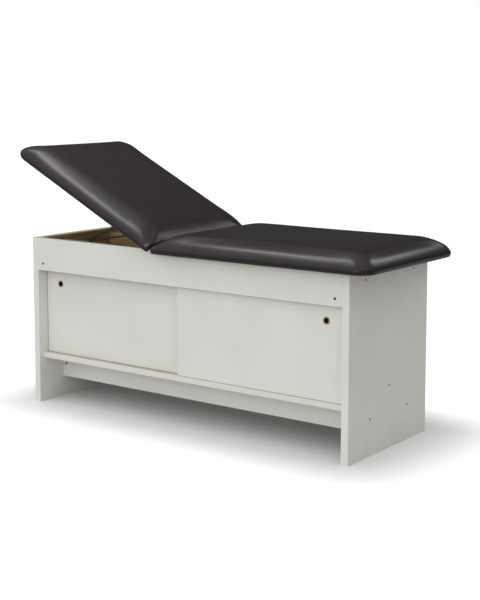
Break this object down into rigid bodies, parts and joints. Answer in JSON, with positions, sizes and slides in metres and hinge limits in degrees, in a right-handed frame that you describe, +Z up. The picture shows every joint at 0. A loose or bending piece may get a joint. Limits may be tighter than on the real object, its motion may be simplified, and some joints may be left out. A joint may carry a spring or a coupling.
{
  "type": "medical exam table",
  "caption": "Laminate exam table on end panels, with storage behind sliding doors, an upholstered top and a hinged backrest that tilts up on a ratcheted prop.",
  "frame": {"origin": "on the floor, at the centre of the whole table's box with the backrest at its rest angle", "axes": "+X from the head end to the foot end, +Y from the door side to the rear, +Z up"},
  "size_m": [1.75, 0.686, 1.1093],
  "materials": {
    "laminate": "satin",
    "edge_band": "satin",
    "bare_wood": "matte",
    "plywood": "matte",
    "vinyl": "satin",
    "black_steel": "satin",
    "zinc_steel": "satin",
    "black_oxide": "satin",
    "brass": "satin",
    "track_plastic": "matte",
    "buffer_rubber": "matte"
  },
  "bodies": {
    "cabinet": {"head_end_panel": "laminate", "foot_end_panel": "laminate", "front_apron": "laminate", "rear_apron": "laminate", "rear_panel": "laminate", "bottom_shelf": "laminate", "shelf_edge_strip": "edge_band", "lower_track": "track_plastic", "toe_board": "laminate", "rear_stretcher": "laminate", "toe_block_head": "bare_wood", "toe_block_foot": "bare_wood", "shelf_cleat_head": "bare_wood", "shelf_cleat_foot": "bare_wood", "head_cross_rail": "bare_wood", "foot_cross_rail": "bare_wood", "hinge_rail": "bare_wood", "rack_rail_front": "bare_wood", "rack_rail_rear": "bare_wood", "ratchet_rack_front": "black_steel", "ratchet_rack_rear": "black_steel", "rack_bolts": "zinc_steel", "track_board": "bare_wood", "upper_track": "track_plastic", "door_buffers": "buffer_rubber", "seat_board": "plywood", "seat_pad": "vinyl", "hinge_fixed_leaf_front": "black_steel", "hinge_fixed_leaf_middle": "black_steel", "hinge_fixed_leaf_rear": "black_steel", "hinge_pin_front": "zinc_steel", "hinge_pin_middle": "zinc_steel", "hinge_pin_rear": "zinc_steel", "seat_hinge_screws": "zinc_steel", "end_screws_head": "zinc_steel", "end_screws_foot": "zinc_steel", "apron_screws": "black_oxide", "toe_board_screws": "black_oxide"},
    "backrest": {"backrest_board": "plywood", "backrest_pad": "vinyl", "hinge_moving_leaf_front": "black_steel", "hinge_moving_leaf_middle": "black_steel", "hinge_moving_leaf_rear": "black_steel", "backrest_hinge_screws": "zinc_steel", "prop_bracket_front": "black_steel", "prop_bracket_rear": "black_steel", "bracket_screws": "zinc_steel"},
    "prop": {"prop_leg_front": "black_steel", "prop_leg_rear": "black_steel", "prop_pivot_rod": "zinc_steel", "prop_foot_rod": "zinc_steel"},
    "left_door": {"left_door": "laminate", "left_finger_pull": "brass", "left_door_glides": "track_plastic"},
    "right_door": {"right_door": "laminate", "right_finger_pull": "brass", "right_door_glides": "track_plastic"}
  },
  "joints": [
    {"name": "backrest_tilt", "type": "hinge", "parent": "cabinet", "child": "backrest", "pos_m": [-0.12398, 0, 0.724], "axis": [0, 1, 0], "range_deg": [-26.5, 28.5]},
    {"name": "prop_swing", "type": "hinge", "parent": "backrest", "child": "prop", "pos_m": [-0.35082, 0, 0.8181], "axis": [0, 1, 0], "range_deg": [-56.5, 52.5]},
    {"name": "left_door_slide", "type": "slide", "parent": "cabinet", "child": "left_door", "axis": [1, 0, 0], "range_m": [0, 0.7425]},
    {"name": "right_door_slide", "type": "slide", "parent": "cabinet", "child": "right_door", "axis": [-1, 0, 0], "range_m": [0, 0.7425]}
  ],
  "couplings": [
    {"joint": "prop_swing", "follows": "backrest_tilt", "ratio": -1.97}
  ]
}
